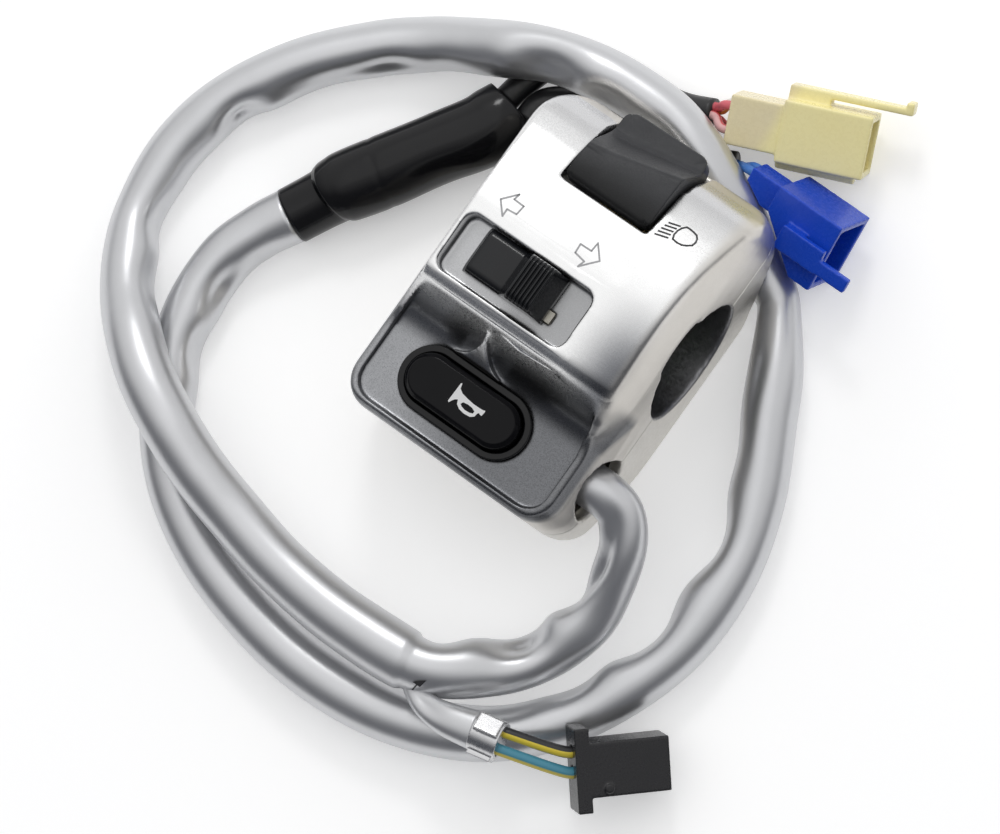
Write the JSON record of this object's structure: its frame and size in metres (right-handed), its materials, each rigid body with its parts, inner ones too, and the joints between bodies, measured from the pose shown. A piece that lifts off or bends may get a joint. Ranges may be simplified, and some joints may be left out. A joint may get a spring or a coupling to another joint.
{
  "type": "handlebar switch cluster",
  "caption": "Left-hand motorbike handlebar switch with dimmer rocker, turn-signal slider, horn button and a looped sleeved harness ending in plug connectors.",
  "frame": {"origin": "middle of the handlebar bore", "axes": "+X along the handlebar toward the side where the harness leaves, +Y up the face toward the dimmer, +Z out of the face"},
  "size_m": [0.142, 0.1422, 0.0433],
  "materials": {
    "polished_casting": "polished die casting",
    "rear_casting": "polished die casting",
    "steel": "zinc plated",
    "grained_black": "fine grain",
    "slider_black": "semi gloss",
    "gloss_black": "gloss",
    "pale_tab": "matt",
    "base_plastic": "moulded phenolic",
    "contact_brass": "bright",
    "silver_sleeve": "silver vinyl, satin",
    "black_wrap": "shrunk sleeve",
    "black_lead": "satin vinyl",
    "wire_mixed": "coloured insulation",
    "wire_red": "coloured insulation",
    "wire_blue": "coloured insulation",
    "wire_yellow": "coloured insulation",
    "pale_yellow": "natural nylon",
    "blue_plastic": "nylon",
    "connector_black": "nylon"
  },
  "bodies": {
    "housing": {"front_housing": "polished_casting", "rear_housing": "rear_casting", "housing_screws": "steel", "cable_clamp": "steel", "cable_clamp_screws": "steel", "dimmer_pivot_pin": "steel", "dimmer_base": "base_plastic", "dimmer_contacts": "contact_brass", "turn_guide_tab": "pale_tab", "turn_base": "base_plastic", "turn_contacts": "contact_brass", "turn_screws": "steel", "horn_bezel": "gloss_black", "horn_spring": "steel", "horn_contacts": "contact_brass", "horn_base": "base_plastic", "horn_screws": "steel", "inner_wires": "wire_mixed", "harness_sleeve": "silver_sleeve", "harness_wrap": "black_wrap", "main_lead": "black_lead", "second_lead": "black_lead", "main_wires": "wire_red", "main_connector": "pale_yellow", "main_terminals": "contact_brass", "second_wires": "wire_blue", "second_connector": "blue_plastic", "second_terminals": "contact_brass", "branch_sleeve": "silver_sleeve", "branch_clip": "steel", "branch_wires": "wire_yellow", "branch_connector": "connector_black", "branch_terminals": "contact_brass"},
    "dimmer": {"dimmer_rocker": "grained_black", "dimmer_bridge": "contact_brass", "dimmer_detent_spring": "steel", "dimmer_detent_ball": "steel"},
    "turn_slider": {"turn_knob": "slider_black", "turn_carriage": "base_plastic", "turn_bridge": "contact_brass", "turn_detent_spring": "steel", "turn_detent_ball": "steel"},
    "horn": {"horn_button": "gloss_black", "horn_bridge": "contact_brass"}
  },
  "joints": [
    {"name": "dimmer_rock", "type": "hinge", "parent": "housing", "child": "dimmer", "pos_m": [0.0008, 0.0195, 0.0085], "axis": [-1, 0, 0], "range_deg": [0, 18]},
    {"name": "turn_slide", "type": "slide", "parent": "housing", "child": "turn_slider", "axis": [1, 0, 0], "range_m": [-0.003, 0.003]},
    {"name": "horn_press", "type": "slide", "parent": "housing", "child": "horn", "axis": [0, 0, -1], "range_m": [0, 0.002], "stiffness_N_per_m": 400, "springref_m": -0.002, "deforming": ["horn_spring"]}
  ]
}
